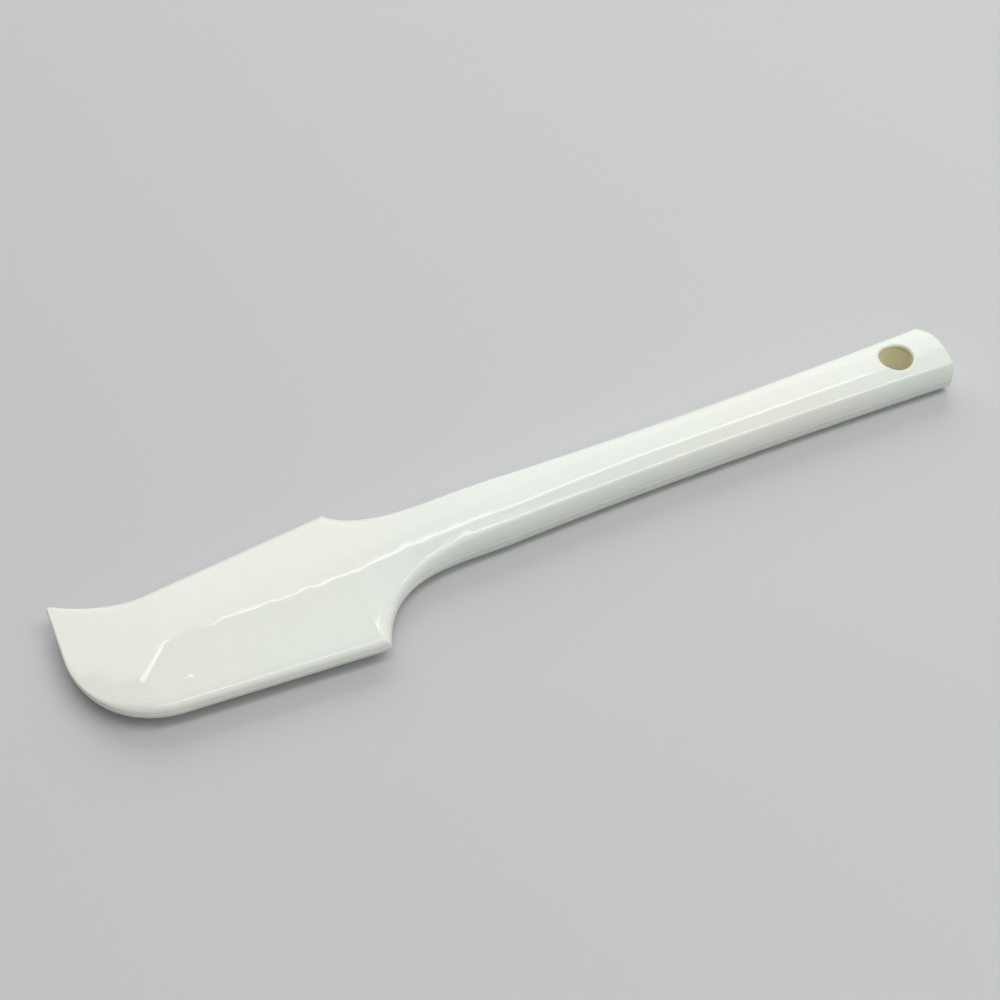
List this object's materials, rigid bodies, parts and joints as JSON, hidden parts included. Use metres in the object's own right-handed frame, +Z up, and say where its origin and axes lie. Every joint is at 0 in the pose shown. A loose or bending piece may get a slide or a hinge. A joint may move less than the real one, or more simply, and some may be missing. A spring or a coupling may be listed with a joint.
{
  "type": "pastry spatula",
  "caption": "Flexible pastry spatula: a silicone skin with a pointed and a rounded blade corner, moulded over a stiff nylon core, with a hanging hole in the handle.",
  "frame": {"origin": "middle of the spatula's length and width, on the surface that it lies on", "axes": "+X along the spatula towards the hanging hole, +Y towards the side with the blade's pointed corner, +Z up, square to the flat of the blade"},
  "size_m": [0.2372, 0.0448, 0.0112],
  "materials": {
    "white_silicone": "glossy",
    "natural_nylon": "satin"
  },
  "bodies": {
    "root": {"silicone_skin": "white_silicone", "nylon_core": "natural_nylon"}
  },
  "joints": []
}
